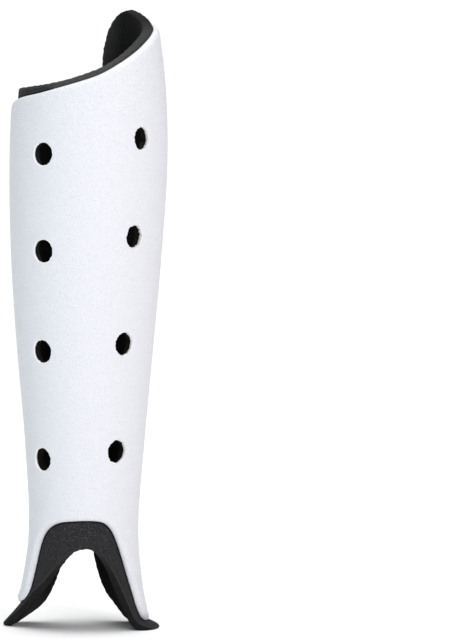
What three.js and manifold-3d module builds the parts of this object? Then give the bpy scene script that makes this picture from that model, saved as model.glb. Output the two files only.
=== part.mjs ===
import * as THREE from 'three';
import { mergeVertices } from 'three/addons/utils/BufferGeometryUtils.js';
import Module from 'manifold-3d';

// A field hockey shin guard: a white moulded shell on a black foam liner that wraps the lower leg.
// Millimetres, +Z up. The shin faces -Y, and the tall wing of the guard is on the +X side.

const LINER_THICKNESS = 6;
const LIP_THICKNESS = 4.6; // the liner thins to this at the floor
const LIP_TAPER = 24; // height over which it thins
const SHELL_THICKNESS = 2.7;
const SHELL_EDGE_THICKNESS = 1;
const SHELL_EDGE_WIDTH = 4; // the shell rounds down to its edge over this width
const SEAM_GAP = 0.6; // between the outside of the liner and the inside of the shell
const SHELL_VENT_DIAMETER = 12;
const LINER_VENT_DIAMETER = 19.5;
const VENT_FACETS = 24;
const ARC_PER_DEGREE = 0.6; // mean length of a degree of wrap, for even steps along an outline
const LINER_CELLS = { round: 37, up: 27, border: 2.5 };
const SHELL_CELLS = { round: 34, up: 25, border: SHELL_EDGE_WIDTH };
const FOOT_GRADING = 0.75; // rows lie closer together toward the feet

// The surface where shell and liner meet. Each row is a level section of two half ellipses:
// its height, its half width, its depth ahead of and behind its centre, and that centre.
const SECTIONS = [
  { height: 0, halfWidth: 33.5, front: 42, rear: 31, x: -2.4, y: -8 },
  { height: 20, halfWidth: 29.6, front: 37, rear: 28, x: -2.3, y: -8 },
  { height: 50, halfWidth: 26.1, front: 30.5, rear: 25, x: -1.5, y: -8 },
  { height: 100, halfWidth: 28.7, front: 33, rear: 27.5, x: -0.7, y: -5.5 },
  { height: 150, halfWidth: 33.2, front: 38, rear: 31.5, x: -0.4, y: -2 },
  { height: 200, halfWidth: 37, front: 42.5, rear: 35, x: 0.4, y: 1 },
  { height: 250, halfWidth: 38.9, front: 44.5, rear: 37, x: 1.7, y: 2.5 },
  { height: 290, halfWidth: 37.4, front: 43, rear: 35.5, x: 2.2, y: 1 },
  { height: 340, halfWidth: 31, front: 37, rear: 30, x: 2.2, y: -4 },
];

// The lips of the two feet: how high above the floor each turns outward, how far it then runs out for each
// millimetre down, and over what height it bends.
const SHORT_LIP = { height: 15, slope: 0.72, bend: 2.5 };
const TALL_LIP = { height: 3.8, slope: 2.6, bend: 0.8 };

// Outlines, as rows of angle and height. The angle runs round the leg in degrees, from 0 at the shin
// to the tall wing on the plus side and the short wing on the minus side. A rim runs up from the first
// or last row of the bottom edge to that of the top edge, through the rows given here.
const LINER_OUTLINE = {
  bottom: [
    [-133, 12.5], [-124, 6.8], [-114, 2.4], [-103, 1], [-94, 2.6], [-84, 10.5], [-76, 16.3], [-69, 19.7],
    [-58.5, 23.6], [-48.5, 27.5], [-39, 32.4], [-29.5, 37.5], [-19.5, 42], [-9, 44.7], [10, 45.3],
    [19, 43], [28, 38.8], [36, 33.6], [42, 28.5], [49.5, 21.3], [57, 13], [62.5, 6.8], [68, 2.7], [77, 1],
    [104, 1], [122, 2.8], [136, 8.5], [148, 15],
  ],
  top: [
    [-136, 269], [-125, 277], [-110, 283.5], [-92, 287.5], [-63, 289], [-38, 290.8], [-18, 293.4], [0, 297],
    [14, 300.2], [27, 304.2], [42, 309.3], [60, 315], [80, 319.8], [96, 322.8], [110, 325.8], [122, 328.3],
    [133, 330], [143, 329], [152, 325.5], [160, 319.5],
  ],
  shortRim: [
    [-141, 20], [-149, 30], [-156.5, 47], [-155, 70], [-150, 105], [-146, 135], [-144.5, 167], [-145, 200],
    [-146.5, 235], [-145.5, 255],
  ],
  tallRim: [
    [154, 20.5], [161, 30], [169, 46], [175.5, 79], [177.5, 106], [176, 141], [174.5, 176], [173, 215],
    [171, 255], [168, 290], [166, 308],
  ],
};
const SHELL_OUTLINE = {
  bottom: [
    [-134, 24.5], [-122, 20], [-106, 15.2], [-92, 13.2], [-81, 14.9], [-73, 18.4], [-68.3, 22],
    [-65.5, 26.5], [-62, 36], [-58, 44.5], [-52, 50.8], [-43, 55.5], [-30, 58.8], [-10, 60.2], [12, 60.2],
    [24, 58.8], [33, 55], [42, 47.3], [50.5, 37.2], [58, 26.5], [63, 19.3], [68, 11.4], [76, 5.4], [88, 3.4],
    [109, 3.6], [121, 8], [131, 16],
  ],
  top: [
    [-118, 262], [-111, 267.5], [-104, 271.5], [-92, 277.5], [-80, 281.5], [-67, 283.3], [-42, 286],
    [-24, 289], [-8, 292], [8, 295.6], [25, 301.3], [44, 308], [59, 313], [74, 317], [90, 320], [110, 322.5],
    [130, 324], [144, 322], [152.5, 317],
  ],
  shortRim: [
    [-143.5, 33], [-147.5, 48], [-146.5, 72], [-142.5, 99], [-135, 123], [-127.5, 146], [-122.5, 170],
    [-120.5, 195], [-122, 222], [-123, 244],
  ],
  tallRim: [
    [139, 27], [146.5, 40], [154, 60], [160.5, 86], [162.3, 120], [162.3, 159], [164, 211], [164, 262],
    [162, 282], [158.5, 306],
  ],
};

// Vent centres: angle and height.
const VENTS = [
  [-35, 254], [-34.5, 203], [-38.5, 150], [-45.5, 92.5],
  [41.5, 262], [38, 210.5], [34, 154], [32.5, 97],
];

const wasm = await Module();
wasm.setup();

const { degToRad, lerp, smoothstep } = THREE.MathUtils;

const sectionAt = new THREE.CubicInterpolant(
  Float64Array.from(SECTIONS.map((row) => row.height)),
  Float64Array.from(SECTIONS.flatMap(({ halfWidth, front, rear, x, y }) => [halfWidth, front, rear, x, y])),
  5,
);

// How far a foot lip leaves the plain section at this place.
function lipFlare(angle, height) {
  const towardTall = (1 + Math.sin(angle)) / 2;
  const start = lerp(SHORT_LIP.height, TALL_LIP.height, towardTall);
  const slope = lerp(SHORT_LIP.slope, TALL_LIP.slope, towardTall);
  const bend = lerp(SHORT_LIP.bend, TALL_LIP.bend, towardTall);
  return slope * bend * Math.log1p(Math.exp((start - height) / bend));
}

function seamPoint(angle, height) {
  const [halfWidth, front, rear, x, y] = sectionAt.evaluate(height);
  const flare = lipFlare(angle, height);
  const depth = Math.cos(angle) > 0 ? front : rear;
  return new THREE.Vector3(
    x + (halfWidth + flare) * Math.sin(angle),
    y - (depth + flare) * Math.cos(angle),
    height,
  );
}

function seamNormal(angle, height) {
  const step = 0.01;
  const round = seamPoint(angle + step, height).sub(seamPoint(angle - step, height));
  const up = seamPoint(angle, height + step).sub(seamPoint(angle, height - step));
  return round.cross(up).normalize();
}

// The point this far outside the seam surface.
function offsetPoint(angle, height, offset) {
  return seamPoint(angle, height).addScaledVector(seamNormal(angle, height), offset);
}

function outlineCurve(rows) {
  const points = rows.map(([angle, height]) => new THREE.Vector3(angle * ARC_PER_DEGREE, height, 0));
  return new THREE.CatmullRomCurve3(points, false, 'centripetal');
}

// Steps from 0 to 1 with a border cell at each end. A grading above 0 draws them together toward 0.
function borderedSteps(cells, edge, grading) {
  const inner = Array.from({ length: cells - 1 }, (_, i) => {
    const even = i / (cells - 2);
    return lerp(edge, 1 - edge, lerp(even, even ** 2, grading));
  });
  return [0, ...inner, 1];
}

// A grid of places that fills an outline, each row from the short rim to the tall rim.
function fillOutline({ bottom, top, shortRim, tallRim }, cells) {
  const low = outlineCurve(bottom);
  const high = outlineCurve(top);
  const short = outlineCurve([bottom[0], ...shortRim, top[0]]);
  const tall = outlineCurve([bottom.at(-1), ...tallRim, top.at(-1)]);
  const roundSteps = borderedSteps(cells.round, cells.border / low.getLength(), 0);
  const upSteps = borderedSteps(cells.up, cells.border / short.getLength(), FOOT_GRADING);
  return upSteps.map((v) => roundSteps.map((u) => {
    const place = low.getPointAt(u).multiplyScalar(1 - v);
    place.addScaledVector(high.getPointAt(u), v);
    place.addScaledVector(short.getPointAt(v), 1 - u);
    place.addScaledVector(tall.getPointAt(v), u);
    place.addScaledVector(low.getPointAt(0), -(1 - u) * (1 - v));
    place.addScaledVector(low.getPointAt(1), -u * (1 - v));
    place.addScaledVector(high.getPointAt(0), -(1 - u) * v);
    place.addScaledVector(high.getPointAt(1), -u * v);
    return { angle: degToRad(place.x / ARC_PER_DEGREE), height: place.y };
  }));
}

// A closed wall over a grid of places. outside and inside give the offsets of its two faces.
function wallGeometry(grid, outside, inside) {
  const rows = grid.length;
  const columns = grid[0].length;
  const positions = [];
  for (const offset of [outside, inside]) {
    grid.forEach((row, j) => row.forEach(({ angle, height }, i) => {
      const atEdge = i === 0 || j === 0 || i === columns - 1 || j === rows - 1;
      positions.push(...offsetPoint(angle, height, offset(height, atEdge)));
    }));
  }
  const inner = rows * columns;
  const indices = [];
  const quad = (a, b, c, d) => indices.push(a, b, c, a, c, d);
  for (let j = 0; j < rows - 1; j += 1) {
    for (let i = 0; i < columns - 1; i += 1) {
      const a = j * columns + i;
      quad(a, a + 1, a + columns + 1, a + columns);
      quad(inner + a, inner + a + columns, inner + a + columns + 1, inner + a + 1);
    }
  }
  const border = [];
  for (let i = 0; i < columns - 1; i += 1) border.push(i);
  for (let j = 0; j < rows - 1; j += 1) border.push(j * columns + columns - 1);
  for (let i = columns - 1; i > 0; i -= 1) border.push((rows - 1) * columns + i);
  for (let j = rows - 1; j > 0; j -= 1) border.push(j * columns);
  border.forEach((p, k) => {
    const q = border[(k + 1) % border.length];
    quad(q, p, inner + p, inner + q);
  });
  const geometry = new THREE.BufferGeometry();
  geometry.setAttribute('position', new THREE.Float32BufferAttribute(positions, 3));
  geometry.setIndex(indices);
  return geometry;
}

function toManifold(geometry) {
  const bare = geometry.clone();
  bare.deleteAttribute('normal');
  bare.deleteAttribute('uv');
  const merged = mergeVertices(bare, 1e-4);
  return new wasm.Manifold(new wasm.Mesh({
    numProp: 3,
    vertProperties: Float32Array.from(merged.attributes.position.array),
    triVerts: Uint32Array.from(merged.index.array),
  }));
}

function toGeometry(solid) {
  const { vertProperties, triVerts } = solid.getMesh();
  const geometry = new THREE.BufferGeometry();
  geometry.setAttribute('position', new THREE.Float32BufferAttribute(vertProperties, 3));
  geometry.setIndex(Array.from(triVerts));
  geometry.computeVertexNormals();
  return geometry;
}

// A peg square to the wall at a vent, long enough to pass through both pieces.
function ventPeg([degrees, height], diameter) {
  const angle = degToRad(degrees);
  const middle = offsetPoint(angle, height, 0);
  const turn = new THREE.Quaternion().setFromUnitVectors(
    new THREE.Vector3(0, 1, 0),
    seamNormal(angle, height),
  );
  const peg = new THREE.CylinderGeometry(diameter / 2, diameter / 2, 24, VENT_FACETS);
  return toManifold(peg.applyQuaternion(turn).translate(middle.x, middle.y, middle.z));
}

function cutVents(solid, diameter) {
  return VENTS.reduce((rest, vent) => rest.subtract(ventPeg(vent, diameter)), solid);
}

function linerSolid() {
  const grid = fillOutline(LINER_OUTLINE, LINER_CELLS);
  const depth = (height) => lerp(LIP_THICKNESS, LINER_THICKNESS, smoothstep(height, 0, LIP_TAPER));
  const wall = toManifold(wallGeometry(grid, () => 0, (height) => -depth(height)));
  const floor = new THREE.BoxGeometry(300, 300, 40).translate(0, 0, -20);
  return cutVents(wall.subtract(toManifold(floor)), LINER_VENT_DIAMETER);
}

function shellSolid() {
  const grid = fillOutline(SHELL_OUTLINE, SHELL_CELLS);
  const thickness = (height, atEdge) => (atEdge ? SHELL_EDGE_THICKNESS : SHELL_THICKNESS);
  const wall = wallGeometry(
    grid,
    (height, atEdge) => SEAM_GAP + thickness(height, atEdge),
    () => SEAM_GAP,
  );
  return cutVents(toManifold(wall), SHELL_VENT_DIAMETER);
}

function piece(name, solid, material) {
  const mesh = new THREE.Mesh(toGeometry(solid), new THREE.MeshStandardMaterial(material));
  mesh.name = name;
  return mesh;
}

const guard = new THREE.Group();
guard.name = 'shin_guard';
guard.add(
  piece('outer_shell', shellSolid(), { color: '#eceef2', roughness: 0.55, metalness: 0 }),
  piece('foam_liner', linerSolid(), { color: '#1d1c1f', roughness: 0.9, metalness: 0 }),
);

// The middle of the footprint is the origin.
const middle = new THREE.Box3().setFromObject(guard).getCenter(new THREE.Vector3());
guard.position.set(-middle.x, -middle.y, 0);

export default guard;
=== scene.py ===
# %% [markdown]
# A field hockey shin guard. A white moulded shell takes the knocks, and a thicker black foam liner
# under it spreads them over the leg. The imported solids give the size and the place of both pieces.
# This lesson makes the surfaces that are seen: the same two pieces with round edges, clean vents and
# their own finishes. All tables are in millimetres and degrees, and the scene itself is in metres.

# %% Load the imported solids
import math

import bpy
import numpy as np
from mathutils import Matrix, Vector, geometry, kdtree


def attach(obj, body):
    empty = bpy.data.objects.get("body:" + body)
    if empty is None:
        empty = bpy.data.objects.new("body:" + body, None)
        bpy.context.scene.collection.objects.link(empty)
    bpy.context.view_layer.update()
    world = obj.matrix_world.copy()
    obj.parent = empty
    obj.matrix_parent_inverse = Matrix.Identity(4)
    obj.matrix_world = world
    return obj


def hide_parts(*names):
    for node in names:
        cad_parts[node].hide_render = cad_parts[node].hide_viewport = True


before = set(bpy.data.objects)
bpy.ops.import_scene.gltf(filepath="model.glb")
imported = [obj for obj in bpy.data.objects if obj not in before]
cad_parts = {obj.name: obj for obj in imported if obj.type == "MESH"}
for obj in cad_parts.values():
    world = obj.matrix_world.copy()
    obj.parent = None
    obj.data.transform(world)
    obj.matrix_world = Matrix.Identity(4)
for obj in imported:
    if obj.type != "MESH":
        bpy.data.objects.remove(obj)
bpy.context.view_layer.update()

MM = 0.001

# %% [markdown]
# The guard stands on its two feet and is looked at straight from the front, a little from above.
# A long lens far away keeps the wall's curve from being stretched, as it is in a catalogue picture.
# The guard stands left of the middle, so the camera is aimed beside it.

# %% Camera
SENSOR_WIDTH = 36  # in millimetres, as a camera maker gives it
VIEW_DISTANCE = 2.2
VIEW_ELEVATION = math.radians(4)
PICTURE_HEIGHT = 0.3445  # how much of the guard's plane the tall side of the picture shows
GUARD_MIDDLE = Vector((0, 0, 0.165))
AIM = Vector((0.0775, 0, 0.163))

camera = bpy.data.objects.new("camera", bpy.data.cameras.new("camera"))
camera.data.sensor_width = SENSOR_WIDTH
camera.data.lens = SENSOR_WIDTH * VIEW_DISTANCE / PICTURE_HEIGHT
toward_camera = Vector((0, -math.cos(VIEW_ELEVATION), math.sin(VIEW_ELEVATION)))
camera.location = GUARD_MIDDLE + VIEW_DISTANCE * toward_camera
camera.rotation_euler = (AIM - camera.location).to_track_quat("-Z", "Y").to_euler()
bpy.context.scene.collection.objects.link(camera)
bpy.context.scene.camera = camera
print("lens", round(camera.data.lens), "mm")

# %% [markdown]
# Shell and liner meet on one surface, shaped like the lower leg: slim at the ankle, full at the calf.
# It could be sculpted, but a leg is a stack of level sections, so a short table is exact and easy to
# change. Each section is two half ellipses, one ahead of its centre and one behind, and the sizes
# between two rows follow a smooth cubic.

# %% Level sections of the leg
SECTIONS = np.array([
    # height, half width, depth ahead, depth behind, centre x, centre y
    (0, 33.5, 42, 31, -2.4, -8),
    (20, 29.6, 37, 28, -2.3, -8),
    (50, 26.1, 30.5, 25, -1.5, -8),
    (100, 28.7, 33, 27.5, -0.7, -5.5),
    (150, 33.2, 38, 31.5, -0.4, -2),
    (200, 37, 42.5, 35, 0.4, 1),
    (250, 38.9, 44.5, 37, 1.7, 2.5),
    (290, 37.4, 43, 35.5, 2.2, 1),
    (340, 31, 37, 30, 2.2, -4),
])


def section_at(height):
    """Half width, depths and centre of the section at each height."""
    levels, sizes = SECTIONS[:, 0], SECTIONS[:, 1:]
    slopes = np.diff(sizes, axis=0) / np.diff(levels)[:, None]
    tangents = np.vstack([slopes[:1], (slopes[1:] + slopes[:-1]) / 2, slopes[-1:]])
    height = np.clip(height, levels[0], levels[-1])
    row = np.clip(np.searchsorted(levels, height) - 1, 0, len(levels) - 2)
    rise = (levels[row + 1] - levels[row])[:, None]
    t = (height - levels[row])[:, None] / rise
    return (
        (2 * t**3 - 3 * t**2 + 1) * sizes[row]
        + (t**3 - 2 * t**2 + t) * rise * tangents[row]
        + (3 * t**2 - 2 * t**3) * sizes[row + 1]
        + (t**3 - t**2) * rise * tangents[row + 1]
    )


print("section at 75 mm", section_at(np.array([75.0])).round(1).tolist())

# %% [markdown]
# Near the floor the liner turns outward into two lips, which are the feet of the guard. The lip under
# the short wing is a long slope, and that under the tall wing a sharp bend just above the floor. One
# formula gives both: no flare above the bend, a straight run below it, and a soft turn between them.
# Round the leg the values of the two lips blend, so no join has to be hidden.

# %% Lips of the feet
# Height where a lip turns outward, its run out for each millimetre down, and the height of the bend.
SHORT_LIP = np.array([15, 0.72, 2.5])
TALL_LIP = np.array([3.8, 2.6, 0.8])


def lip_flare(angle, height):
    """How far a lip leaves the plain section."""
    tall_share = (1 + np.sin(angle)[:, None]) / 2
    start, slope, bend = (SHORT_LIP + (TALL_LIP - SHORT_LIP) * tall_share).T
    return slope * bend * np.log1p(np.exp((start - height) / bend))


both_sides = np.radians([-90.0, 90.0])
print("flare at the floor, short and tall side", lip_flare(both_sides, np.zeros(2)).round(1).tolist())

# %% [markdown]
# Section and flare together give a point for every place, and a place is an angle round the leg and a
# height. The whole guard is drawn with such places, like a label that is wrapped round a bottle.

# %% The seam surface
def seam_point(places):
    """Points of the seam surface for rows of angle and height. Angle 0 is the shin."""
    angle, height = np.radians(places[:, 0]), places[:, 1]
    half_width, ahead, behind, x, y = section_at(height).T
    flare = lip_flare(angle, height)
    depth = np.where(np.cos(angle) > 0, ahead, behind)
    across = x + (half_width + flare) * np.sin(angle)
    return np.stack([across, y - (depth + flare) * np.cos(angle), height], axis=1)


CALF_FRONT = np.array([[0.0, 250.0]])
print("front of the calf", seam_point(CALF_FRONT).round(1).tolist())

# %% [markdown]
# Two things are read off the surface again and again: which way it faces, and how long a degree or a
# millimetre of the pattern becomes on it. Both come from a small step each way. That needs no formula
# for the slopes, so a change of the tables needs no change here.

# %% Directions on the surface
STEP_ROUND, STEP_UP = np.array([0.2, 0.0]), np.array([0.0, 0.1])


def seam_steps(places):
    """How the surface moves for a degree round the leg, and for a millimetre up."""
    round_leg = seam_point(places + STEP_ROUND) - seam_point(places - STEP_ROUND)
    up_leg = seam_point(places + STEP_UP) - seam_point(places - STEP_UP)
    return round_leg / (2 * STEP_ROUND[0]), up_leg / (2 * STEP_UP[1])


def unit(vectors):
    return vectors / np.linalg.norm(vectors, axis=1, keepdims=True)


def seam_normal(places):
    return unit(np.cross(*seam_steps(places)))


def stretch(places):
    """Millimetres of surface for one degree round, and for one millimetre of height."""
    return np.stack([np.linalg.norm(step, axis=1) for step in seam_steps(places)], axis=1)


print("calf faces", seam_normal(CALF_FRONT).round(2).tolist())
print("and stretches", stretch(CALF_FRONT).round(2).tolist())

# %% [markdown]
# A maker cuts both pieces from flat patterns, so each one is first drawn flat: how far round the leg,
# and how high. Four short tables hold a pattern's edges. The liner comes first. Its bottom edge stands
# on two feet with the arch of the instep between them, and its top edge climbs to the tall wing.

# %% The liner's pattern
# Rows of angle and height. Minus is the side of the short wing, plus is that of the tall wing.
LINER_OUTLINE = {
    "bottom": [
        (-133, 12.5), (-124, 6.8), (-114, 2.4), (-103, 1), (-94, 2.6), (-84, 10.5), (-76, 16.3), (-69, 19.7),
        (-58.5, 23.6), (-48.5, 27.5), (-39, 32.4), (-29.5, 37.5), (-19.5, 42), (-9, 44.7), (10, 45.3),
        (19, 43), (28, 38.8), (36, 33.6), (42, 28.5), (49.5, 21.3), (57, 13), (62.5, 6.8), (68, 2.7),
        (77, 1), (104, 1), (122, 2.8), (136, 8.5), (148, 15),
    ],
    "top": [
        (-136, 269), (-125, 277), (-110, 283.5), (-92, 287.5), (-63, 289), (-38, 290.8), (-18, 293.4),
        (0, 297), (14, 300.2), (27, 304.2), (42, 309.3), (60, 315), (80, 319.8), (96, 322.8), (110, 325.8),
        (122, 328.3), (133, 330), (143, 329), (152, 325.5), (160, 319.5),
    ],
    "short_rim": [
        (-141, 20), (-149, 30), (-156.5, 47), (-155, 70), (-150, 105), (-146, 135), (-144.5, 167),
        (-145, 200), (-146.5, 235), (-145.5, 255),
    ],
    "tall_rim": [
        (154, 20.5), (161, 30), (169, 46), (175.5, 79), (177.5, 106), (176, 141), (174.5, 176), (173, 215),
        (171, 255), (168, 290), (166, 308),
    ],
}
print("liner rows", {edge: len(rows) for edge, rows in LINER_OUTLINE.items()})

# %% [markdown]
# The shell is cut smaller, so that a band of foam shows all round it: wide over the instep, where the
# foot bends, and narrow along the top. Its two lower tips run out on the lips of the feet.

# %% The shell's pattern
SHELL_OUTLINE = {
    "bottom": [
        (-134, 24.5), (-122, 20), (-106, 15.2), (-92, 13.2), (-81, 14.9), (-73, 18.4), (-68.3, 22),
        (-65.5, 26.5), (-62, 36), (-58, 44.5), (-52, 50.8), (-43, 55.5), (-30, 58.8), (-10, 60.2),
        (12, 60.2), (24, 58.8), (33, 55), (42, 47.3), (50.5, 37.2), (58, 26.5), (63, 19.3), (68, 11.4),
        (76, 5.4), (88, 3.4), (109, 3.6), (121, 8), (131, 16),
    ],
    "top": [
        (-118, 262), (-111, 267.5), (-104, 271.5), (-92, 277.5), (-80, 281.5), (-67, 283.3), (-42, 286),
        (-24, 289), (-8, 292), (8, 295.6), (25, 301.3), (44, 308), (59, 313), (74, 317), (90, 320),
        (110, 322.5), (130, 324), (144, 322), (152.5, 317),
    ],
    "short_rim": [
        (-143.5, 33), (-147.5, 48), (-146.5, 72), (-142.5, 99), (-135, 123), (-127.5, 146), (-122.5, 170),
        (-120.5, 195), (-122, 222), (-123, 244),
    ],
    "tall_rim": [
        (139, 27), (146.5, 40), (154, 60), (160.5, 86), (162.3, 120), (162.3, 159), (164, 211), (164, 262),
        (162, 282), (158.5, 306),
    ],
}
print("shell rows", {edge: len(rows) for edge, rows in SHELL_OUTLINE.items()})

# %% [markdown]
# A knife doesn't cut from point to point, so a smooth curve runs through the rows of an edge. A Blender
# curve could hold it, but its handles would have to be set by hand. The spline here is the centripetal
# kind, which goes through every row and makes no loops where rows lie close together.

# %% A smooth line through the rows
ARC_PER_DEGREE = 0.6  # mean length of a degree of wrap, to draw the pattern flat
FLAT = np.array([ARC_PER_DEGREE, 1.0])
SPLINE_STEPS = np.arange(16)[:, None] / 16


def smooth_line(rows):
    """A centripetal spline through the rows, as many rows of angle and height."""
    p = np.array(rows, float) * FLAT
    p = np.vstack([2 * p[0] - p[1], p, 2 * p[-1] - p[-2]])
    spans = np.sqrt(np.linalg.norm(np.diff(p, axis=0), axis=1))
    t = SPLINE_STEPS
    line = []
    for i in range(1, len(p) - 2):
        before, span, after = spans[i - 1 : i + 2]
        step = p[i + 1] - p[i]
        start = step + span * ((p[i] - p[i - 1]) / before - (p[i + 1] - p[i - 1]) / (before + span))
        end = step + span * ((p[i + 2] - p[i + 1]) / after - (p[i + 2] - p[i]) / (span + after))
        line.append(p[i] + start * t + (3 * step - 2 * start - end) * t**2 + (start + end - 2 * step) * t**3)
    return np.vstack(line + [p[-2:-1]]) / FLAT


print("shell's top edge", len(smooth_line(SHELL_OUTLINE["top"])), "points")

# %% [markdown]
# The four edges join into one closed line, the rim. Its points are spread evenly by the length that
# they have on the surface, because even points give even triangles, and those shade smoothly.

# %% The closed rim
def even_loop(outline, spacing):
    """The closed outline, walked with the panel on the left, with a corner about every spacing."""
    bottom, top = outline["bottom"], outline["top"]
    sides = [
        smooth_line(bottom),
        smooth_line([bottom[-1], *outline["tall_rim"], top[-1]]),
        smooth_line(top)[::-1],
        smooth_line([bottom[0], *outline["short_rim"], top[0]])[::-1],
    ]
    line = np.vstack([side[:-1] for side in sides] + [sides[0][:1]])
    walked = np.linalg.norm(np.diff(seam_point(line), axis=0), axis=1)
    walked = np.concatenate([[0], np.cumsum(walked)])
    stops = np.linspace(0, walked[-1], round(walked[-1] / spacing) + 1)[:-1]
    return np.stack([np.interp(stops, walked, line[:, k]) for k in range(2)], axis=1)


for name, outline in (("shell", SHELL_OUTLINE), ("liner", LINER_OUTLINE)):
    print(name, "rim", len(even_loop(outline, 1)), "mm long")

# %% [markdown]
# A round edge needs rows of points that run beside it, so the rim is moved inward by a few set
# distances. A hand-cut edge is also never quite true. A little seeded wobble, made of sine waves, moves
# the rim in and out, and it comes out the same on every run.

# %% Rings beside the rim
RIM_WAVES = range(60, 380, 13)


def moved_inward(loop, distance):
    """The loop moved toward the inside of its panel by a distance on the surface."""
    scale = stretch(loop)
    ahead = unit((np.roll(loop, -1, axis=0) - np.roll(loop, 1, axis=0)) * scale)
    left = np.stack([-ahead[:, 1], ahead[:, 0]], axis=1)
    return loop + left * np.reshape(distance, (-1, 1)) / scale


def wobble(count, size, waves, seed):
    """A closed run of small smooth offsets, made of a few sine waves."""
    draw = np.random.default_rng(seed)
    turn = np.arange(count) * 2 * np.pi / count
    total = np.zeros(count)
    for wave in waves:
        total += draw.normal() * np.sin(wave * turn + draw.uniform(0, 2 * np.pi))
    return size * total / math.sqrt(len(waves))


print("wobble of a tenth reaches", np.abs(wobble(400, 0.1, RIM_WAVES, 1)).max().round(2), "mm")

# %% [markdown]
# Eight vents let the leg breathe, four on each side of the shin. They are punched, which leaves their
# edges a little ragged, and more so on the tall side, where the punch met the wall at a slant and made
# the holes narrow. A boolean with a cylinder would leave long thin triangles round each hole, so rings of
# points are laid round it instead.

# %% Rings round the vents
VENTS = np.array([
    # angle, height
    (-35, 254),
    (-34.5, 203),
    (-38.5, 150),
    (-45.5, 92.5),
    (41.5, 262),
    (38, 210.5),
    (34, 154),
    (32.5, 97),
])
VENT_WIDTHS = np.array([1, 1, 1, 1, 0.86, 0.88, 0.9, 0.92])  # as a share of the height of the hole
VENT_RAGGED = np.array([0.1, 0.14, 0.12, 0.1, 0.2, 0.3, 0.18, 0.2])


def vent_ring(k, radii):
    """A ring round a vent, with a radius for each of its points."""
    turn = np.arange(len(radii)) * 2 * np.pi / len(radii)
    circle = np.stack([np.cos(turn) * VENT_WIDTHS[k], np.sin(turn)], axis=1)
    return VENTS[k] + circle * radii[:, None] / stretch(VENTS[k : k + 1])


def from_centre(vent, places):
    """How far places lie from the centre of a vent, on the surface."""
    return np.linalg.norm((places - vent) * stretch(vent[None]), axis=1)


print("vents", len(VENTS), "first ring", vent_ring(0, np.full(4, 6.0)).round(1).tolist())

# %% [markdown]
# Later steps ask two questions of any place: how far is it from a line, and is it inside a loop? A tree
# of points answers the first fast. For the second, count how many edges of the loop lie to the right of
# the place: an odd number means inside.

# %% Near a line and inside a loop
def distance_tree(places):
    tree = kdtree.KDTree(len(places))
    for i, point in enumerate(seam_point(places)):
        tree.insert(Vector(point), i)
    tree.balance()
    return tree


def nearest(tree, places):
    return np.array([tree.find(Vector(point))[2] for point in seam_point(places)])


def inside_loop(loop, places):
    """Which places lie inside a closed loop, by counting the edges to their right."""
    x, y = places[:, :1], places[:, 1:]
    a, b = loop, np.roll(loop, -1, axis=0)
    crosses = (a[:, 1] > y) != (b[:, 1] > y)
    with np.errstate(divide="ignore", invalid="ignore"):
        at = a[:, 0] + (y - a[:, 1]) * (b[:, 0] - a[:, 0]) / (b[:, 1] - a[:, 1])
    return (crosses & (x < at)).sum(axis=1) % 2 == 1


print("vents on the shell", int(inside_loop(even_loop(SHELL_OUTLINE, 2), VENTS).sum()))

# %% [markdown]
# Between the rings the panel is plain, so staggered rows of points fill it. They keep clear of the rim
# and of the vents, where the rings already lie.

# %% Points that fill a panel
FILL_SPACING = 2.3
ROW_SHARE = 0.87  # staggered rows lie closer than their points


def fill_places(loop, vent_clear):
    """Staggered rows of places inside the loop that keep clear of the vents."""
    low, high = loop.min(axis=0), loop.max(axis=0)
    rows = np.arange(low[1], high[1], FILL_SPACING * ROW_SHARE)
    wide = FILL_SPACING / ARC_PER_DEGREE
    columns = np.arange(low[0], high[0], wide)
    places = np.vstack([
        np.stack([columns + wide / 2 * (k % 2), np.full(len(columns), height)], axis=1)
        for k, height in enumerate(rows)
    ])
    places = places[inside_loop(loop, places)]
    for vent in VENTS:
        places = places[from_centre(vent, places) > vent_clear]
    return places


print("shell fill", len(fill_places(even_loop(SHELL_OUTLINE, 2), 8.0)), "points")

# %% [markdown]
# All rings of a panel are gathered in one list. Each point notes how far it is from the rim and from
# the nearest vent, because the round of the edge is worked out from that later. In a tight bend, rings
# would run into the rim on the other side, so points that come too near are left out.

# %% Gather the rings
FAR = 99.0  # stands for any distance past the round edge
NEAR_SHARE, NEAR_SLACK = 0.9, 0.1  # how near to the rim a point of a ring may come
WOBBLE_REACH = 3  # the most that a wobble moves the rim, for each unit of its size
VENT_WAVES = range(4, 20)


def rim_rings(loop, rim_tree, distances, uneven):
    """Rings inside the rim, each with its distances and the points to keep."""
    rings = []
    for distance in distances:
        ring = moved_inward(loop, distance)
        kept = nearest(rim_tree, ring) > NEAR_SHARE * distance - WOBBLE_REACH * uneven - NEAR_SLACK
        rings.append((ring, distance, FAR, kept))
    return rings


def all_vent_rings(radius, distances, points, seed):
    """Rings round every vent, outward from its ragged edge."""
    rings = []
    for k, ragged in enumerate(VENT_RAGGED):
        punched = radius + wobble(points, ragged, VENT_WAVES, seed + k)
        for distance in distances:
            rings.append((vent_ring(k, punched + distance), FAR, distance, np.full(points, True)))
    return rings


print("two rings for each vent make", len(all_vent_rings(6.0, (0, 1), 40, 1)), "rings")

# %% [markdown]
# The triangulator has to keep the rings whole, so it also needs the edges along each ring. They are
# pairs of point numbers, and they break where points were left out.

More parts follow.
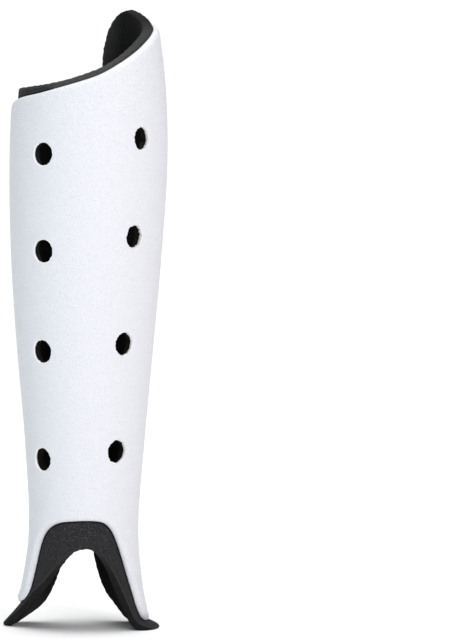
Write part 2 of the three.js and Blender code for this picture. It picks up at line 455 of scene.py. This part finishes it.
# %% Number the points of the rings
def joined_rings(rings):
    """The kept points of all rings, their two distances, and the edges along each ring."""
    places, from_rim, from_vent, edges = [], [], [], []
    count = 0
    for ring, rim, vent, kept in rings:
        number = np.cumsum(kept) - 1 + count
        follows = np.roll(np.arange(len(ring)), -1)
        edges.extend((int(number[i]), int(number[j])) for i, j in enumerate(follows) if kept[i] and kept[j])
        places.append(ring[kept])
        from_rim.append(np.full(kept.sum(), rim))
        from_vent.append(np.full(kept.sum(), vent))
        count += int(kept.sum())
    return np.vstack(places), np.concatenate(from_rim), np.concatenate(from_vent), edges


print("they hold", len(joined_rings(all_vent_rings(6.0, (0, 1), 40, 1))[3]), "edges")

# %% [markdown]
# Now the flat pattern becomes a mesh. Blender has a triangulator that keeps given lines as edges, so
# the rings stay whole and the room between them fills with even triangles. A subdivided grid would
# need its corners forced round eight holes and two feet. Triangles that lie off the panel or inside
# a hole are dropped.

# %% From pattern to triangles
FINE_SPACING = 0.25
FILL_CLEAR = 0.6 * FILL_SPACING
PLAIN_TRIANGLES, SAME_POINT = 0, 1e-6  # what the triangulator makes, and what it joins


def triangles_between(places, edges, from_rim, from_vent, loop):
    """Triangles that keep the rings whole, without those off the panel or in a vent."""
    flat = [Vector(row) for row in places * FLAT]
    made = geometry.delaunay_2d_cdt(flat, edges, [], PLAIN_TRIANGLES, SAME_POINT, False)
    triangles = np.array(made[2])
    middles = places[triangles].mean(axis=1)
    off_panel = (from_rim[triangles] == 0).all(axis=1) & ~inside_loop(loop, middles)
    in_hole = (from_vent[triangles] == 0).all(axis=1)
    return triangles[~off_panel & ~in_hole]


def panel(outline, spacing, rim_steps, vent_radius, vent_steps, vent_points, uneven, seed):
    """A panel's places, triangles and distances to its rim and vents."""
    loop = even_loop(outline, spacing)
    loop = moved_inward(loop, wobble(len(loop), uneven, RIM_WAVES, seed))
    rim_tree = distance_tree(even_loop(outline, FINE_SPACING))
    rings = rim_rings(loop, rim_tree, rim_steps, uneven)
    rings += all_vent_rings(vent_radius, vent_steps, vent_points, seed)
    places, from_rim, from_vent, edges = joined_rings(rings)
    fill = fill_places(loop, vent_radius + vent_steps[-1] + FILL_CLEAR)
    fill = fill[nearest(rim_tree, fill) > rim_steps[-1] + FILL_CLEAR]
    far = np.full(len(fill), FAR)
    places = np.vstack([places, fill])
    from_rim, from_vent = np.append(from_rim, far), np.append(from_vent, far)
    triangles = triangles_between(places, edges, from_rim, from_vent, loop)
    print("panel of", len(places), "points", len(triangles), "triangles")
    return places, triangles, from_rim, from_vent


# %% [markdown]
# The pattern is then laid on the seam surface, and each point gets the direction in which the wall
# stands on it. Beside a vent that direction turns to the line of the punch, so the hole goes straight
# through the foam instead of narrowing like a funnel.

# %% Directions of the wall
PUNCH_REACH = 7.0  # how far from a vent its direction still counts


def wall_directions(places, vent_radius):
    directions = seam_normal(places)
    for vent in VENTS:
        away = from_centre(vent, places) - vent_radius
        share = np.clip(1 - away / PUNCH_REACH, 0, 1)[:, None]
        share = share * share * (3 - 2 * share)
        directions = unit(directions * (1 - share) + seam_normal(vent[None]) * share)
    return directions


beside_vent = VENTS[:1] + np.array([[8.0, 0.0]])
print("beside a vent the wall faces", seam_normal(beside_vent).round(2).tolist())
print("and turns to", wall_directions(beside_vent, 6.0).round(2).tolist())

# %% [markdown]
# What each point knows goes with the mesh as named attributes. Geometry Nodes can read them by name,
# and so can a material, which saves both from working the same distances out again.

# %% Lay a pattern on the leg form
def laid_panel(name, shape, vent_radius, notes):
    """A mesh object on the seam surface, with what the wall needs to know at each point."""
    places, triangles, from_rim, from_vent = shape
    mesh = bpy.data.meshes.new(name)
    mesh.from_pydata((seam_point(places) * MM).tolist(), [], triangles.tolist())
    for label, values in {"from_rim": from_rim, "from_vent": from_vent, **notes}.items():
        values = (values * MM).astype(np.float32)
        mesh.attributes.new(label, "FLOAT", "POINT").data.foreach_set("value", values)
    directions = wall_directions(places, vent_radius).astype(np.float32)
    mesh.attributes.new("direction", "FLOAT_VECTOR", "POINT").data.foreach_set("vector", directions.ravel())
    piece = bpy.data.objects.new(name, mesh)
    bpy.context.scene.collection.objects.link(piece)
    print(name, "carries", [note.name for note in mesh.attributes if not note.name.startswith(".")])
    return piece


# %% [markdown]
# The trees of nodes that follow are long when every node and link is written out. Two small helpers
# keep them readable: one adds a node and fills its inputs, and one does a step of arithmetic.

# %% Helpers for node trees
def wire(tree, kind, inputs=(), **settings):
    """Adds a node, sets its options, and links or sets its inputs by name or place."""
    node = tree.nodes.new(kind)
    for key, setting in settings.items():
        setattr(node, key, setting)
    for key, given_value in dict(inputs).items():
        if isinstance(given_value, bpy.types.NodeSocket):
            tree.links.new(given_value, node.inputs[key])
        else:
            node.inputs[key].default_value = given_value
    return node


def maths(tree, operation, a, b=0.0, clamp=False):
    node = wire(tree, "ShaderNodeMath", {0: a, 1: b}, operation=operation, use_clamp=clamp)
    return node.outputs[0]


print("node trees so far", len(bpy.data.node_groups))

# %% [markdown]
# Both pieces are walls, and a wall follows one rule: move the panel out for its outer face and in for
# its inner face, and let the two close on a rounded edge. Solidify could thicken the panel, but it
# can't round the edge by its own profile. A Geometry Nodes tree holds the rule once, with the sizes
# as its inputs, and makes both pieces.

# %% Inputs of the wall tree
wall = bpy.data.node_groups.new("guard wall", "GeometryNodeTree")
wall.interface.new_socket("Panel", in_out="INPUT", socket_type="NodeSocketGeometry")
for label in ("Face Level", "Rim Round", "Vent Round", "Squareness", "Closing Share"):
    wall.interface.new_socket(label, in_out="INPUT", socket_type="NodeSocketFloat")
wall.interface.new_socket("Finish", in_out="INPUT", socket_type="NodeSocketMaterial")
wall.interface.new_socket("Wall", in_out="OUTPUT", socket_type="NodeSocketGeometry")
given = wall.nodes.new("NodeGroupInput").outputs
print("wall tree takes", [socket.name for socket in given if socket.name])

# %% [markdown]
# The profile of an edge is a superellipse, a curve between a circle and a square. The shell is soft like
# a bar of soap, so it takes the round one. The foam was cut with a knife, so its edge is nearly square.

# %% The round of an edge
def noted(label, data_type="FLOAT"):
    node = wire(wall, "GeometryNodeInputNamedAttribute", {"Name": label}, data_type=data_type)
    return node.outputs["Attribute"]


def rounding(distance, width):
    """0 at the edge and 1 past its round, along a superellipse."""
    part = maths(wall, "DIVIDE", distance, width, clamp=True)
    left = maths(wall, "POWER", maths(wall, "SUBTRACT", 1.0, part), given["Squareness"])
    root = maths(wall, "DIVIDE", 1.0, given["Squareness"])
    return maths(wall, "POWER", maths(wall, "SUBTRACT", 1.0, left, clamp=True), root)


rim_rise = rounding(noted("from_rim"), given["Rim Round"])
vent_rise = rounding(noted("from_vent"), given["Vent Round"])
sunk = maths(wall, "SUBTRACT", 1.0, maths(wall, "MINIMUM", rim_rise, vent_rise))
print("edge profile", len(wall.nodes), "nodes")

# %% [markdown]
# The panel is moved twice, once for each face, and sinks at the edge until the two faces meet. The
# Closing Share says where: at the seam for the shell, halfway for the foam. The tree also marks the cut
# edge and the inner face, because raw foam and the inside of the shell have their own colours.

# %% The two faces
def face(level, marks):
    """The panel moved to a level along the wall's direction, with marks for its finish."""
    offset = wire(wall, "ShaderNodeVectorMath", {0: noted("direction", "FLOAT_VECTOR"), "Scale": level},
                  operation="SCALE")
    moved = wire(wall, "GeometryNodeSetPosition", {"Geometry": given["Panel"], "Offset": offset.outputs[0]})
    for label, mark in marks.items():
        noting = {"Geometry": moved.outputs[0], "Name": label, "Value": mark}
        moved = wire(wall, "GeometryNodeStoreNamedAttribute", noting, data_type="FLOAT", domain="POINT")
    return moved.outputs[0]


depth = noted("depth")
all_sunk = maths(wall, "MULTIPLY", sunk, depth)
outer_sunk = maths(wall, "MULTIPLY", all_sunk, given["Closing Share"])
inner_sunk = maths(wall, "MULTIPLY", all_sunk, maths(wall, "SUBTRACT", 1.0, given["Closing Share"]))
back = maths(wall, "SUBTRACT", given["Face Level"], depth)
outer = face(maths(wall, "SUBTRACT", given["Face Level"], outer_sunk), {"cut": sunk, "inside": 0.0})
inner = face(maths(wall, "ADD", back, inner_sunk), {"cut": sunk, "inside": 1.0})
print("with both faces", len(wall.nodes), "nodes")

# %% [markdown]
# The inner face is turned over so that it looks inward, and the points that meet on the edge are merged,
# which closes the wall. Whatever would sink below the floor is pressed flat on it and makes the soles.

# %% Close the wall
WELD = 1e-6
FLOOR_LIMIT = (-9.0, -9.0, 0.0)  # lowest coordinates a point may have

turned = wire(wall, "GeometryNodeFlipFaces", {0: inner})
both = wall.nodes.new("GeometryNodeJoinGeometry")
wall.links.new(turned.outputs[0], both.inputs[0])
wall.links.new(outer, both.inputs[0])
closed = wire(wall, "GeometryNodeMergeByDistance", {0: both.outputs[0], "Distance": WELD})
position = wall.nodes.new("GeometryNodeInputPosition").outputs[0]
on_floor = wire(wall, "ShaderNodeVectorMath", {0: position, 1: FLOOR_LIMIT}, operation="MAXIMUM")
standing = wire(wall, "GeometryNodeSetPosition",
                {"Geometry": closed.outputs[0], "Position": on_floor.outputs[0]})
soft = wire(wall, "GeometryNodeSetShadeSmooth", {"Geometry": standing.outputs[0]})
real = wire(wall, "GeometryNodeRealizeInstances", {0: soft.outputs[0]})
dressed = wire(wall, "GeometryNodeSetMaterial", {"Geometry": real.outputs[0], "Material": given["Finish"]})
wire(wall, "NodeGroupOutput", {0: dressed.outputs[0]})
print("wall tree", len(wall.nodes), "nodes")

# %% [markdown]
# A modifier runs the tree on a panel. Its inputs are set by the identifier of the socket, and then the
# result is kept as a plain mesh, so that it can be exported and the tree is no longer needed.

# %% Run the wall tree
def raise_wall(piece, sizes, finish):
    """Runs the wall tree on a panel and keeps the result as a plain mesh."""
    modifier = piece.modifiers.new("wall", "NODES")
    modifier.node_group = wall
    for socket in wall.interface.items_tree:
        if socket.name in sizes:
            modifier[socket.identifier] = float(sizes[socket.name])
        elif socket.name == "Finish":
            modifier[socket.identifier] = finish
    graph = bpy.context.evaluated_depsgraph_get()
    made = bpy.data.meshes.new_from_object(piece.evaluated_get(graph), preserve_all_data_layers=True,
                                           depsgraph=graph)
    piece.modifiers.clear()
    piece.data = made
    print(piece.name, "wall", len(made.vertices), "points", len(made.polygons), "faces")


# %% [markdown]
# Shell and foam share one thing: a skin with a fine grain that the mould pressed into it. It is one
# node group, which gives a pebble height, small flecks and slow clouds of tone, and each finish places
# it at its own scale. A picture of the grain would need a flat map of a round wall. Solid noise in the
# object's own coordinates needs none, and it lies still on the guard from every side.

# %% The grain group
FLECK_SHARPNESS = 8.0
CLOUDS_PER_METRE = 22.0

grain = bpy.data.node_groups.new("moulded grain", "ShaderNodeTree")
grain.interface.new_socket("Place", in_out="INPUT", socket_type="NodeSocketVector")
for label in ("Pebbles per Metre", "Flecks per Metre", "Fleck Level"):
    grain.interface.new_socket(label, in_out="INPUT", socket_type="NodeSocketFloat")
for label in ("Pebble", "Fleck", "Cloud"):
    grain.interface.new_socket(label, in_out="OUTPUT", socket_type="NodeSocketFloat")
taken = grain.nodes.new("NodeGroupInput").outputs
cells = wire(grain, "ShaderNodeTexVoronoi", {"Vector": taken["Place"], "Scale": taken["Pebbles per Metre"],
                                             "Randomness": 1.0}, feature="SMOOTH_F1")
pebble = maths(grain, "SUBTRACT", 1.0, cells.outputs["Distance"], clamp=True)
dots = wire(grain, "ShaderNodeTexNoise", {"Vector": taken["Place"], "Scale": taken["Flecks per Metre"],
                                          "Detail": 2.0, "Roughness": 0.6})
above = maths(grain, "SUBTRACT", dots.outputs[0], taken["Fleck Level"])
fleck = maths(grain, "MULTIPLY", above, FLECK_SHARPNESS, clamp=True)
clouds = wire(grain, "ShaderNodeTexNoise", {"Vector": taken["Place"], "Scale": CLOUDS_PER_METRE,
                                            "Detail": 3.0})
wire(grain, "NodeGroupOutput", {"Pebble": pebble, "Fleck": fleck, "Cloud": clouds.outputs[0]})
print("grain group", len(grain.nodes), "nodes")

# %% [markdown]
# Every finish starts as an empty material, places the grain, and mixes colours by masks. A mask is a
# value from 0 to 1, most often the share of the way between two levels of some mark.

# %% Helpers for finishes
def blank_finish(label):
    finish = bpy.data.materials.new(label)
    finish.use_nodes = True
    finish.node_tree.nodes.clear()
    return finish, finish.node_tree


def placed_grain(tree, pebbles, flecks, level):
    place = tree.nodes.new("ShaderNodeTexCoord").outputs["Object"]
    scales = {"Place": place, "Pebbles per Metre": pebbles, "Flecks per Metre": flecks, "Fleck Level": level}
    return wire(tree, "ShaderNodeGroup", scales, node_tree=grain).outputs


def marked(tree, label):
    return wire(tree, "ShaderNodeAttribute", attribute_name=label).outputs["Fac"]


def mixed(tree, share, a, b):
    """Colour a where the share is 0, and b where it is 1."""
    return wire(tree, "ShaderNodeMix", {0: share, 6: a, 7: b}, data_type="RGBA").outputs[2]


def share_between(tree, level, start, end):
    """0 at the start level and 1 at the end level."""
    return maths(tree, "MULTIPLY", maths(tree, "SUBTRACT", level, start), 1 / (end - start), clamp=True)


print("materials so far", len(bpy.data.materials))

# %% [markdown]
# The shell is a white skin on a pale core. Its outside is satin with a pebble grain under a millimetre
# across, a touch bluer than paper, with painted shade in the hollows of the grain. The walls of the vents
# get painted light, a whiter white than the face. On the inside, seen only through the wider vents of the
# liner, the bare core shows beige. The wall tree marked that face, and each point knows how far it is
# from a vent, so two attributes mix the three colours.

# %% The shell's finish
CLEAN_WHITE = (0.775, 0.785, 0.825, 1.0)
# painted shade: a greyer white that the hollows of the grain take
SHADED_WHITE = (0.62, 0.63, 0.68, 1.0)
# painted light: the walls of the vents are painted whiter than the face, to lift the shade that falls on
# them
VENT_WALL_LIGHT_WHITE = (0.93, 0.92, 0.92, 1.0)
BEIGE_CORE = (0.76, 0.7, 0.61, 1.0)
HOLLOW_SHADE = 0.6
VENT_WALL_LIGHT_REACH = 0.0005, 0.0003  # metres from the edge of a vent
CORE_SHOWS = 0.6, 0.85  # between the marks of the outer face, 0, and of the inner face, 1
SATIN, SATIN_SPREAD = 0.48, 0.14

shell_finish, tree = blank_finish("white shell skin")
skin = placed_grain(tree, pebbles=1300.0, flecks=2600.0, level=0.56)
hollow = maths(tree, "SUBTRACT", 1.0, skin["Pebble"])
# painted shade in the hollows of the grain
tone = mixed(tree, maths(tree, "MULTIPLY", hollow, HOLLOW_SHADE, clamp=True), CLEAN_WHITE, SHADED_WHITE)
# painted light on the walls of the vents, near their edge
tone = mixed(tree, share_between(tree, marked(tree, "from_vent"), *VENT_WALL_LIGHT_REACH), tone, VENT_WALL_LIGHT_WHITE)
colour = mixed(tree, share_between(tree, marked(tree, "inside"), *CORE_SHOWS), tone, BEIGE_CORE)
rough = maths(tree, "ADD", SATIN, maths(tree, "MULTIPLY", skin["Cloud"], SATIN_SPREAD))
bump = wire(tree, "ShaderNodeBump", {"Strength": 0.75, "Distance": 0.0005, "Height": skin["Pebble"]})
surface = wire(tree, "ShaderNodeBsdfPrincipled", {"Base Color": colour, "Roughness": rough,
                                                  "Normal": bump.outputs[0], "Specular IOR Level": 0.4})
wire(tree, "ShaderNodeOutputMaterial", {"Surface": surface.outputs[0]})
print(shell_finish.name, len(tree.nodes), "nodes")

# %% [markdown]
# The foam is nearly black, matt, and full of tiny pale flecks where cells broke open. Its colour changes
# with its place, so this step makes one mask for each kind of place: painted shade low at the feet and on
# the crest of the tall wing, painted light inside that wing, and cut at a slant along the top. Over the
# shin the slant is widest, because there the knife lay flattest on the foam.

# %% Where the foam changes
# Two levels for each mask, in metres: where it starts and where it is full.
# painted shade: the first pair darkens the feet and the second the crest of the tall wing; the third places
# painted light inside that wing
FOOT_SHADE_UP, CREST_SHADE_UP, WING_LIGHT_UP, SLANT_UP = (0.055, 0.03), (0.317, 0.324), (0.27, 0.3), (0.26, 0.27)
# painted light inside the tall wing, fullest toward its rim
WING_LIGHT_ACROSS = 0.0205, 0.0095
SLANT_IN, SHIN_IN = (0.002, 0.0012), (0.0042, 0.003)
SHIN_LEFT, SHIN_RIGHT, SHIN_FRONT = (-0.021, -0.016), (0.03, 0.014), (0.0, -0.01)
# painted shadow of the shell's edge, as distances past that edge
SHELL_SHADOW_REACH = 0.0011, 0.0005
RIDGE_CUT = 0.03, 0.12  # as shares of the way round the edge

foam_finish, tree = blank_finish("black foam")
skin = placed_grain(tree, pebbles=1500.0, flecks=2100.0, level=0.56)
object_place = tree.nodes.new("ShaderNodeTexCoord").outputs["Object"]
across, deep, height = wire(tree, "ShaderNodeSeparateXYZ", {0: object_place}).outputs
cut_mark = marked(tree, "cut")
# painted shade, darker towards the floor at the feet
foot_shade = share_between(tree, height, *FOOT_SHADE_UP)
# painted shade on the cut face at the crest of the tall wing
crest_shade = share_between(tree, height, *CREST_SHADE_UP)
# painted light on the inside of the tall wing, toward its rim
wing_light = maths(tree, "MULTIPLY", share_between(tree, height, *WING_LIGHT_UP),
               share_between(tree, across, *WING_LIGHT_ACROSS))
top_edge = share_between(tree, height, *SLANT_UP)
shin = maths(tree, "MULTIPLY", share_between(tree, across, *SHIN_LEFT),
             share_between(tree, across, *SHIN_RIGHT))
shin = maths(tree, "MULTIPLY", shin, share_between(tree, deep, *SHIN_FRONT))
shin = maths(tree, "MULTIPLY", shin, top_edge)
rim_mark = marked(tree, "from_rim")
slant = maths(tree, "MULTIPLY", share_between(tree, rim_mark, *SLANT_IN), top_edge)
wide_slant = maths(tree, "MULTIPLY", share_between(tree, rim_mark, *SHIN_IN), shin)
slant = maths(tree, "MAXIMUM", slant, wide_slant)
# painted highlight along the ridge of the cut edge at the feet
ridge_highlight = maths(tree, "MULTIPLY", share_between(tree, cut_mark, *RIDGE_CUT), foot_shade)
# painted shadow of the shell's edge on the foam
shell_edge_shadow = share_between(tree, marked(tree, "past_shell"), *SHELL_SHADOW_REACH)
print("foam masks", len(tree.nodes), "nodes")

# %% [markdown]
# Each mask then mixes in one colour, from the general to the special. The cut edge is greyer than the
# outer face, painted lighter over the shin as painted light, and painted dark at the feet and the crest as
# painted shade. Beside the shell a fine black line is the painted shadow of its edge, and at the feet a
# painted highlight runs pale along the ridge of the cut. The face on the leg is painted shade, the
# blackest of all, with painted light inside the tall wing.

# %% The liner's finish
BLACK, SPECK = (0.0155, 0.0153, 0.0167, 1.0), (0.11, 0.109, 0.112, 1.0)
RAW, RAW_SPECK = (0.031, 0.0305, 0.031, 1.0), (0.072, 0.071, 0.071, 1.0)
# painted light on the cut edge over the shin
SHIN_LIGHT_RAW, SHIN_LIGHT_SPECK = (0.05, 0.0495, 0.05, 1.0), (0.105, 0.104, 0.104, 1.0)
# painted shade: the face toward the leg is made far blacker than the same foam outside
LEG_SHADE_BLACK, LEG_SHADE_SPECK = (0.001, 0.001, 0.0012, 1.0), (0.012, 0.012, 0.013, 1.0)
# painted shade on the cut edge, at the feet and at the crest of the tall wing
PAINTED_SHADE_RAW = (0.006, 0.006, 0.0063, 1.0)
# painted light inside the tall wing
LEG_LIGHT_GREY = (0.036, 0.0355, 0.035, 1.0)
# painted highlight on the ridge at the feet
RIDGE_HIGHLIGHT_GREY = (0.03, 0.0295, 0.0305, 1.0)
# painted shadow beside the shell's edge
SHELL_SHADOW_BLACK = (0.002, 0.002, 0.002, 1.0)
FLECKS_SHOW, FLECKS_IN_FOOT_SHADE = 0.9, 0.7  # how much of the flecks shows, and how much the painted shade at the feet takes away
CUT_FACE = 0.2, 0.45  # where on the round of the edge the cut face starts
MATT, MATT_SPREAD = 0.82, 0.15

cut_tone = mixed(tree, skin["Fleck"], RAW, RAW_SPECK)
# painted shade on the cut edge at the feet and at the crest
cut_tone = mixed(tree, maths(tree, "MAXIMUM", foot_shade, crest_shade), cut_tone, PAINTED_SHADE_RAW)
# painted light on the cut edge over the shin
cut_tone = mixed(tree, shin, cut_tone, mixed(tree, skin["Fleck"], SHIN_LIGHT_RAW, SHIN_LIGHT_SPECK))
# painted shade on the face toward the leg, with painted light inside the tall wing
leg_shade_and_light = mixed(tree, wing_light, mixed(tree, skin["Fleck"], LEG_SHADE_BLACK, LEG_SHADE_SPECK), LEG_LIGHT_GREY)
# the painted shade at the feet also hides most flecks
showing = maths(tree, "SUBTRACT", FLECKS_SHOW, maths(tree, "MULTIPLY", foot_shade, FLECKS_IN_FOOT_SHADE))
tone = mixed(tree, maths(tree, "MULTIPLY", skin["Fleck"], showing), BLACK, SPECK)
# painted shadow of the shell's edge
tone = mixed(tree, shell_edge_shadow, tone, SHELL_SHADOW_BLACK)
tone = mixed(tree, slant, tone, cut_tone)
tone = mixed(tree, ridge_highlight, tone, RIDGE_HIGHLIGHT_GREY)
tone = mixed(tree, marked(tree, "inside"), tone, leg_shade_and_light)
colour = mixed(tree, share_between(tree, cut_mark, *CUT_FACE), tone, cut_tone)
rough = maths(tree, "ADD", MATT, maths(tree, "MULTIPLY", skin["Cloud"], MATT_SPREAD))
bump = wire(tree, "ShaderNodeBump", {"Strength": 0.5, "Distance": 0.0004, "Height": skin["Pebble"]})
surface = wire(tree, "ShaderNodeBsdfPrincipled", {"Base Color": colour, "Roughness": rough,
                                                  "Normal": bump.outputs[0], "Specular IOR Level": 0.25})
wire(tree, "ShaderNodeOutputMaterial", {"Surface": surface.outputs[0]})
print(foam_finish.name, len(tree.nodes), "nodes")

# %% [markdown]
# The shell lies on the seam surface, a hair away from the foam. Its rings lie closest together at the
# edge, where the round is steepest. At the vents the round is only half a millimetre wide.

# %% The shell's panel
SHELL_SPACING, SHELL_VENT_POINTS = 1.6, 56
SHELL_RIM_ROUND, SHELL_VENT_ROUND = 2.8, 0.5
SHELL_VENT_RADIUS = 6.0
VENT_LIP_MIDDLE, VENT_LIP_WIDTH = 1.3, 2.2
ROUND_SHARES = np.array([0, 0.02, 0.08, 0.18, 0.32, 0.5, 0.72, 1])

vent_steps = [*(SHELL_VENT_ROUND * ROUND_SHARES), VENT_LIP_MIDDLE, VENT_LIP_WIDTH]
shell_shape = panel(SHELL_OUTLINE, SHELL_SPACING, SHELL_RIM_ROUND * ROUND_SHARES, SHELL_VENT_RADIUS,
                    vent_steps, SHELL_VENT_POINTS, uneven=0.0, seed=11)
print("shell corners round over", SHELL_RIM_ROUND, "mm")

# %% [markdown]
# From inside the shell thins toward each vent, so a hole shows a narrow white lip and then the dark of
# the hollow behind it. The lips on the tall side are thicker, because they are seen at a slant. With its
# depths known, the panel is laid on the leg form and raised to a wall.

# %% The outer shell
SHELL_DEPTH = 3.0
SHELL_FACE = 3.3  # level of the outer face above the seam
VENT_LIP_DEPTHS = np.array([1.0, 1.0, 1.0, 1.0, 2.2, 2.2, 1.8, 1.8])

depths = np.full(len(shell_shape[0]), SHELL_DEPTH)
for vent, lip_depth in zip(VENTS, VENT_LIP_DEPTHS):
    from_lip = (from_centre(vent, shell_shape[0]) - SHELL_VENT_RADIUS) / VENT_LIP_WIDTH
    depths = np.minimum(depths, lip_depth + (SHELL_DEPTH - lip_depth) * np.clip(from_lip, 0, 1))
shell = laid_panel("outer_shell_skin", shell_shape, SHELL_VENT_RADIUS, {"depth": depths})
raise_wall(shell, {"Face Level": SHELL_FACE * MM, "Rim Round": SHELL_RIM_ROUND * MM,
                   "Vent Round": SHELL_VENT_ROUND * MM, "Squareness": 2, "Closing Share": 1}, shell_finish)

# %% [markdown]
# The liner is a thick foam wall inside the seam surface. It was cut with a knife, so its edges are
# nearly square and not quite true, and its vents are wider than those of the shell.

# %% The liner's panel
LINER_SPACING, LINER_VENT_POINTS = 1.1, 60
LINER_RIM_ROUND, LINER_VENT_ROUND = 1.6, 0.8
RIM_FLAT, VENT_FLAT = 3.2, 2.2  # one more ring on the flat past each round
LINER_VENT_RADIUS = 9.75
SQUARE_SHARES = np.array([0, 0.004, 0.03, 0.12, 0.35, 1])

rim_steps = [*(LINER_RIM_ROUND * SQUARE_SHARES), RIM_FLAT]
vent_steps = [*(LINER_VENT_ROUND * SQUARE_SHARES), VENT_FLAT]
liner_shape = panel(LINER_OUTLINE, LINER_SPACING, rim_steps, LINER_VENT_RADIUS, vent_steps,
                    LINER_VENT_POINTS, uneven=0.12, seed=29)
print("liner vents", 2 * LINER_VENT_RADIUS, "mm wide")

# %% [markdown]
# The foam thins toward the lips that stand on the floor. Each of its points also notes how far it lies
# past the edge of the shell, with a minus under the shell, for the painted shadow of that edge in its
# finish.

# %% The foam liner
LINER_DEPTH, LIP_DEPTH, LIP_TAPER = 6.0, 4.6, 24.0

taper = np.clip(liner_shape[0][:, 1] / LIP_TAPER, 0, 1)
depths = LIP_DEPTH + (LINER_DEPTH - LIP_DEPTH) * taper * taper * (3 - 2 * taper)
shell_loop = even_loop(SHELL_OUTLINE, FINE_SPACING)
past_shell = nearest(distance_tree(shell_loop), liner_shape[0])
past_shell = np.where(inside_loop(shell_loop, liner_shape[0]), -past_shell, past_shell)
liner = laid_panel("foam_liner_pad", liner_shape, LINER_VENT_RADIUS,
                   {"depth": depths, "past_shell": past_shell})
raise_wall(liner, {"Face Level": 0, "Rim Round": LINER_RIM_ROUND * MM, "Vent Round": LINER_VENT_ROUND * MM,
                   "Squareness": 4, "Closing Share": 0.5}, foam_finish)

# %% [markdown]
# The solids stand with the middle of their footprint on the origin. The same rule places these walls,
# and then each one hangs from the root in place of its solid, which is hidden.

# %% Set the pieces in place
def points_of(piece):
    points = np.empty(len(piece.data.vertices) * 3, np.float32)
    piece.data.vertices.foreach_get("co", points)
    return points.reshape(-1, 3)


everything = np.vstack([points_of(shell), points_of(liner)])
middle = (everything.min(axis=0) + everything.max(axis=0)) / 2
middle[2] = 0
for piece, node, finish_slot in ((shell, "outer_shell", "white_shell"), (liner, "foam_liner", "black_foam")):
    piece.data.vertices.foreach_set("co", (points_of(piece) - middle).ravel())
    piece.data.update()
    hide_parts(node)
    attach(piece, "root")
print("footprint middle", (middle / MM).round(3).tolist(), "mm")

# %% [markdown]
# The picture has a plain white ground. A wide disc makes the floor, so that no edge of it shows from any
# side. Its matt white varies a little, like paper, and it throws light back under the feet.

# %% The floor
FLOOR_WHITE, FLOOR_SHADE = (0.93, 0.93, 0.93, 1.0), (0.91, 0.91, 0.91, 1.0)
FLOOR_CLOUDS = 0.2

bpy.ops.mesh.primitive_circle_add(vertices=96, radius=40, fill_type="NGON")
floor = bpy.context.object
floor.name = "floor"
floor_finish, tree = blank_finish("white floor")
ground = placed_grain(tree, pebbles=300.0, flecks=900.0, level=0.6)
pale = mixed(tree, maths(tree, "MULTIPLY", ground["Cloud"], FLOOR_CLOUDS), FLOOR_WHITE, FLOOR_SHADE)
matt = wire(tree, "ShaderNodeBsdfPrincipled",
            {"Base Color": pale, "Roughness": 0.9, "Specular IOR Level": 0.0})
wire(tree, "ShaderNodeOutputMaterial", {"Surface": matt.outputs[0]})
floor.data.materials.append(floor_finish)
print(floor.name, "with", floor_finish.name)

# %% [markdown]
# The light is soft, as in a studio. A very wide sun from above whitens the floor, a large panel in front
# lights the shin, and a small cool one on the left keeps that side of the shell from going grey.

# %% Lights
LIT_POINT = Vector((0, 0, 0.17))


def add_light(label, kind, location, target, **settings):
    light = bpy.data.objects.new(label, bpy.data.lights.new(label, kind))
    for key, setting in settings.items():
        setattr(light.data, key, setting)
    light.location = location
    light.rotation_euler = (Vector(target) - Vector(location)).to_track_quat("-Z", "Y").to_euler()
    bpy.context.scene.collection.objects.link(light)


add_light("overhead", "SUN", location=(0, 0, 4), target=(0, 0, 0), energy=3.1, angle=math.radians(70))
add_light("front panel", "AREA", location=(0.9, -2.3, 0.9), target=LIT_POINT, energy=27.5,
          color=(1, 0.945, 0.98), shape="RECTANGLE", size=1.0, size_y=1.4)
add_light("left panel", "AREA", location=(-2.0, -1.2, 0.6), target=LIT_POINT, energy=4.5,
          color=(0.5, 0.97, 1), shape="RECTANGLE", size=0.3, size_y=0.5)

# %% [markdown]
# The rest of the light is an even sky. It is white where the camera looks at it and dimmer as a light,
# so the sides of the shell fall off in tone and the round of the leg can be read.

# %% The sky
SKY_COLOUR = (0.98, 0.99, 1.0, 1.0)
SKY_LIGHT, SKY_SEEN = 0.17, 0.88  # the strength as light, and what the camera sees on top of it

sky = bpy.data.worlds.new("white sky")
sky.use_nodes = True
bpy.context.scene.world = sky
tree = sky.node_tree
tree.nodes.clear()
seen = tree.nodes.new("ShaderNodeLightPath").outputs["Is Camera Ray"]
level = maths(tree, "ADD", SKY_LIGHT, maths(tree, "MULTIPLY", seen, SKY_SEEN))
background = wire(tree, "ShaderNodeBackground", {"Color": SKY_COLOUR, "Strength": level})
wire(tree, "ShaderNodeOutputWorld", {"Surface": background.outputs[0]})
bpy.context.scene.view_settings.view_transform = "Standard"
print("sky", len(tree.nodes), "nodes")

# %% [markdown]
# The dressed guard has to keep the solids' size; at the end the scene is brought up to date.

# %% Bring the scene up to date
bpy.context.view_layer.update()
